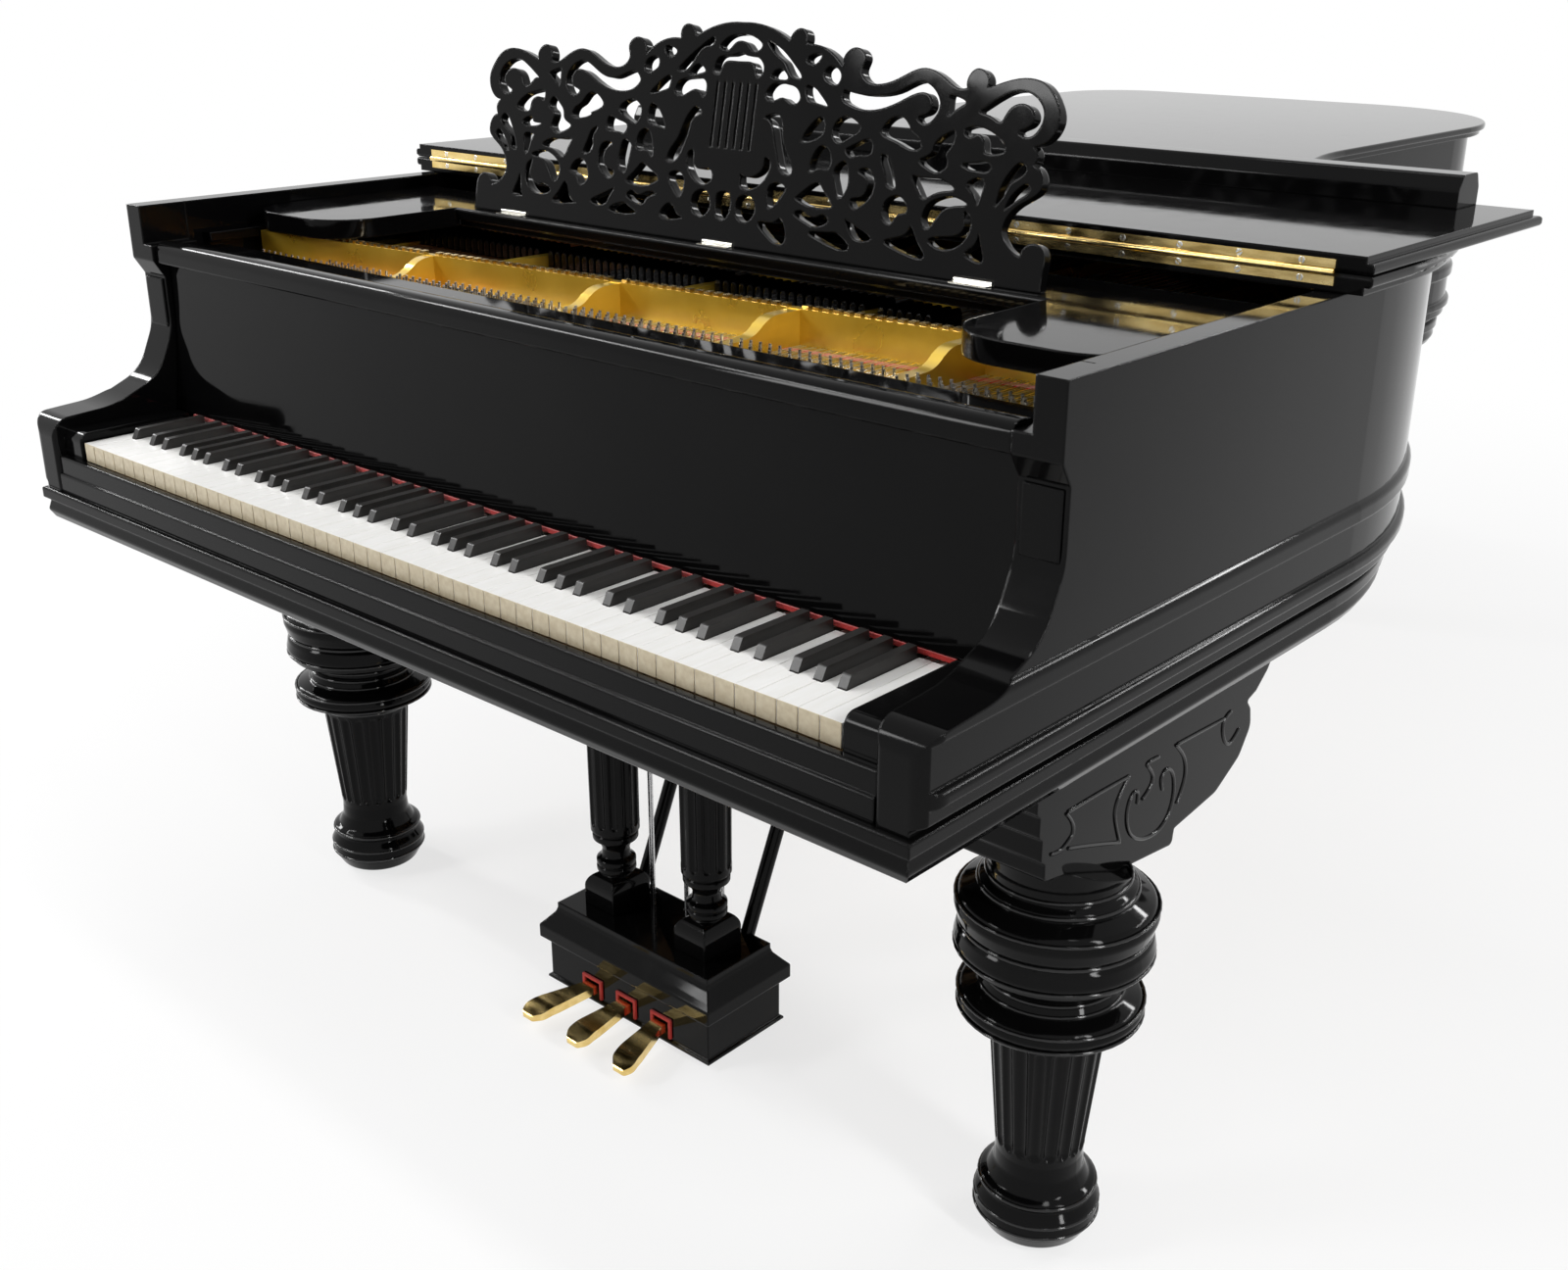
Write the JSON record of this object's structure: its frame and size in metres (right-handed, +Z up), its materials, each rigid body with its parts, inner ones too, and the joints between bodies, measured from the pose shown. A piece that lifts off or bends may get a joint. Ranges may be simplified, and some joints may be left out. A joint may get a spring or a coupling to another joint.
{
  "type": "grand piano",
  "caption": "Black grand piano with folding lid, fallboard, fretwork music desk, sprung keys and hammers, turned fluted legs and a pedal lyre.",
  "frame": {"origin": "on the floor under the middle of the overall box, half way between the front bar and the tail of the lid", "axes": "+X to the treble side, +Y from the keyboard towards the tail, +Z up"},
  "size_m": [1.465, 2.518, 1.2173],
  "materials": {
    "black_lacquer": "gloss",
    "ivory": "gloss",
    "ebony": "satin",
    "gilt_iron": "satin",
    "brass": "polished",
    "steel": "satin",
    "copper": "satin",
    "red_felt": "matt",
    "bare_wood": "matt"
  },
  "bodies": {
    "case": {"agraffes": "gilt_iron", "base_moulding": "black_lacquer", "bass_strings": "copper", "front_board": "black_lacquer", "inner_frame": "bare_wood", "iron_plate": "gilt_iron", "key_blocks": "black_lacquer", "key_slip": "black_lacquer", "keybed": "black_lacquer", "left_arm": "black_lacquer", "left_console": "black_lacquer", "left_leg": "black_lacquer", "lyre_braces": "black_lacquer", "lyre_posts": "black_lacquer", "outer_rim": "black_lacquer", "pedal_box": "black_lacquer", "pedal_felts": "red_felt", "pin_block": "bare_wood", "right_arm": "black_lacquer", "right_console": "black_lacquer", "right_leg": "black_lacquer", "shelf_runners": "black_lacquer", "soundboard": "bare_wood", "spine_hinges": "brass", "tail_leg": "black_lacquer", "tail_leg_block": "black_lacquer", "treble_strings": "steel", "tuning_pins": "steel"},
    "lid": {"main_lid": "black_lacquer", "lid_hinge_leaf": "brass", "spine_hinge_leaves": "brass"},
    "flap": {"front_flap": "black_lacquer", "flap_bar": "black_lacquer", "flap_hinge_leaf": "brass"},
    "prop": {"lid_prop": "black_lacquer"},
    "fallboard": {"fallboard": "black_lacquer", "fallboard_rail": "black_lacquer", "key_felt": "red_felt"},
    "shelf": {"music_shelf": "black_lacquer", "desk_hinges": "brass"},
    "desk": {"music_desk": "black_lacquer"},
    "left_pedal": {"left_pedal": "brass"},
    "middle_pedal": {"middle_pedal": "brass"},
    "right_pedal": {"right_pedal": "brass"},
    "left_rod": {"left_rod": "steel"},
    "middle_rod": {"middle_rod": "steel"},
    "right_rod": {"right_rod": "steel"},
    "dampers": {"dampers": "black_lacquer"},
    "key_frame": {"key_frame": "bare_wood"},
    "naturals_ceg": {"naturals_ceg": "ivory"},
    "hammers_naturals_ceg": {"hammers_naturals_ceg": "bare_wood"},
    "naturals_dfa": {"naturals_dfa": "ivory"},
    "hammers_naturals_dfa": {"hammers_naturals_dfa": "bare_wood"},
    "naturals_b": {"naturals_b": "ivory"},
    "hammers_naturals_b": {"hammers_naturals_b": "bare_wood"},
    "sharps_cfa": {"sharps_cfa": "ebony"},
    "hammers_sharps_cfa": {"hammers_sharps_cfa": "bare_wood"},
    "sharps_dg": {"sharps_dg": "ebony"},
    "hammers_sharps_dg": {"hammers_sharps_dg": "bare_wood"}
  },
  "joints": [
    {"name": "lid_hinge", "type": "hinge", "parent": "case", "child": "lid", "pos_m": [-0.712, 0, 0.9856], "axis": [0, -1, 0], "range_deg": [0, 34]},
    {"name": "flap_hinge", "type": "hinge", "parent": "lid", "child": "flap", "pos_m": [0, -0.6184, 1.0099], "axis": [1, 0, 0], "range_deg": [0, 180]},
    {"name": "prop_hinge", "type": "hinge", "parent": "case", "child": "prop", "pos_m": [0.246, 0.09305, 0.938], "axis": [-0.8575, -0.5145, 0], "range_deg": [0, 68]},
    {"name": "fallboard_hinge", "type": "hinge", "parent": "case", "child": "fallboard", "pos_m": [0, -1.071, 0.757], "axis": [1, 0, 0], "range_deg": [0, 90]},
    {"name": "shelf_slide", "type": "slide", "parent": "case", "child": "shelf", "axis": [0, 1, 0], "range_m": [0, 0.05]},
    {"name": "desk_hinge", "type": "hinge", "parent": "shelf", "child": "desk", "pos_m": [0, -0.741, 0.9776], "axis": [1, 0, 0], "range_deg": [0, 101]},
    {"name": "left_pedal_hinge", "type": "hinge", "parent": "case", "child": "left_pedal", "pos_m": [-0.064, -0.862, 0.029], "axis": [1, 0, 0], "range_deg": [0, 4.1], "stiffness_Nm_per_rad": 20, "springref_deg": -8.59},
    {"name": "left_rod_lift", "type": "slide", "parent": "case", "child": "left_rod", "axis": [0, 0, 1], "range_m": [0, 0.0037]},
    {"name": "middle_pedal_hinge", "type": "hinge", "parent": "case", "child": "middle_pedal", "pos_m": [0, -0.862, 0.029], "axis": [1, 0, 0], "range_deg": [0, 4], "stiffness_Nm_per_rad": 20, "springref_deg": -8.59},
    {"name": "middle_rod_lift", "type": "slide", "parent": "case", "child": "middle_rod", "axis": [0, 0, 1], "range_m": [0, 0.0037]},
    {"name": "right_pedal_hinge", "type": "hinge", "parent": "case", "child": "right_pedal", "pos_m": [0.064, -0.862, 0.029], "axis": [1, 0, 0], "range_deg": [0, 4], "stiffness_Nm_per_rad": 20, "springref_deg": -8.59},
    {"name": "right_rod_lift", "type": "slide", "parent": "case", "child": "right_rod", "axis": [0, 0, 1], "range_m": [0, 0.0037]},
    {"name": "damper_lift", "type": "slide", "parent": "case", "child": "dampers", "axis": [0, 0, 1], "range_m": [0, 0.0061]},
    {"name": "key_frame_shift", "type": "slide", "parent": "case", "child": "key_frame", "axis": [1, 0, 0], "range_m": [0, 0.0025]},
    {"name": "naturals_ceg_hinge", "type": "hinge", "parent": "key_frame", "child": "naturals_ceg", "pos_m": [0, -1.002, 0.6986], "axis": [1, 0, 0], "range_deg": [0, 2.4], "stiffness_Nm_per_rad": 30, "springref_deg": -5.73},
    {"name": "hammers_naturals_ceg_hinge", "type": "hinge", "parent": "key_frame", "child": "hammers_naturals_ceg", "pos_m": [0, -0.897, 0.815], "axis": [1, 0, 0], "range_deg": [0, 18.5]},
    {"name": "naturals_dfa_hinge", "type": "hinge", "parent": "key_frame", "child": "naturals_dfa", "pos_m": [0, -1.002, 0.6986], "axis": [1, 0, 0], "range_deg": [0, 2.4], "stiffness_Nm_per_rad": 30, "springref_deg": -5.73},
    {"name": "hammers_naturals_dfa_hinge", "type": "hinge", "parent": "key_frame", "child": "hammers_naturals_dfa", "pos_m": [0, -0.897, 0.815], "axis": [1, 0, 0], "range_deg": [0, 18.5]},
    {"name": "naturals_b_hinge", "type": "hinge", "parent": "key_frame", "child": "naturals_b", "pos_m": [0, -1.002, 0.6986], "axis": [1, 0, 0], "range_deg": [0, 2.4], "stiffness_Nm_per_rad": 30, "springref_deg": -5.73},
    {"name": "hammers_naturals_b_hinge", "type": "hinge", "parent": "key_frame", "child": "hammers_naturals_b", "pos_m": [0, -0.897, 0.815], "axis": [1, 0, 0], "range_deg": [0, 18.5]},
    {"name": "sharps_cfa_hinge", "type": "hinge", "parent": "key_frame", "child": "sharps_cfa", "pos_m": [0, -1.002, 0.6986], "axis": [1, 0, 0], "range_deg": [0, 2.4], "stiffness_Nm_per_rad": 30, "springref_deg": -5.73},
    {"name": "hammers_sharps_cfa_hinge", "type": "hinge", "parent": "key_frame", "child": "hammers_sharps_cfa", "pos_m": [0, -0.897, 0.815], "axis": [1, 0, 0], "range_deg": [0, 18.5]},
    {"name": "sharps_dg_hinge", "type": "hinge", "parent": "key_frame", "child": "sharps_dg", "pos_m": [0, -1.002, 0.6986], "axis": [1, 0, 0], "range_deg": [0, 2.4], "stiffness_Nm_per_rad": 30, "springref_deg": -5.73},
    {"name": "hammers_sharps_dg_hinge", "type": "hinge", "parent": "key_frame", "child": "hammers_sharps_dg", "pos_m": [0, -0.897, 0.815], "axis": [1, 0, 0], "range_deg": [0, 18.5]}
  ],
  "couplings": [
    {"joint": "prop_hinge", "follows": "lid_hinge", "ratio": 2},
    {"joint": "desk_hinge", "follows": "flap_hinge", "ratio": 0.56111},
    {"joint": "left_rod_lift", "follows": "key_frame_shift", "ratio": 1.4521},
    {"joint": "middle_rod_lift", "follows": "middle_pedal_hinge", "m_per_rad": 0.052},
    {"joint": "right_rod_lift", "follows": "right_pedal_hinge", "m_per_rad": 0.052},
    {"joint": "damper_lift", "follows": "right_pedal_hinge", "m_per_rad": 0.085944},
    {"joint": "left_pedal_hinge", "follows": "key_frame_shift", "rad_per_m": 27.925},
    {"joint": "hammers_naturals_ceg_hinge", "follows": "naturals_ceg_hinge", "ratio": 7.7083},
    {"joint": "hammers_naturals_dfa_hinge", "follows": "naturals_dfa_hinge", "ratio": 7.7083},
    {"joint": "hammers_naturals_b_hinge", "follows": "naturals_b_hinge", "ratio": 7.7083},
    {"joint": "hammers_sharps_cfa_hinge", "follows": "sharps_cfa_hinge", "ratio": 7.7083},
    {"joint": "hammers_sharps_dg_hinge", "follows": "sharps_dg_hinge", "ratio": 7.7083}
  ]
}
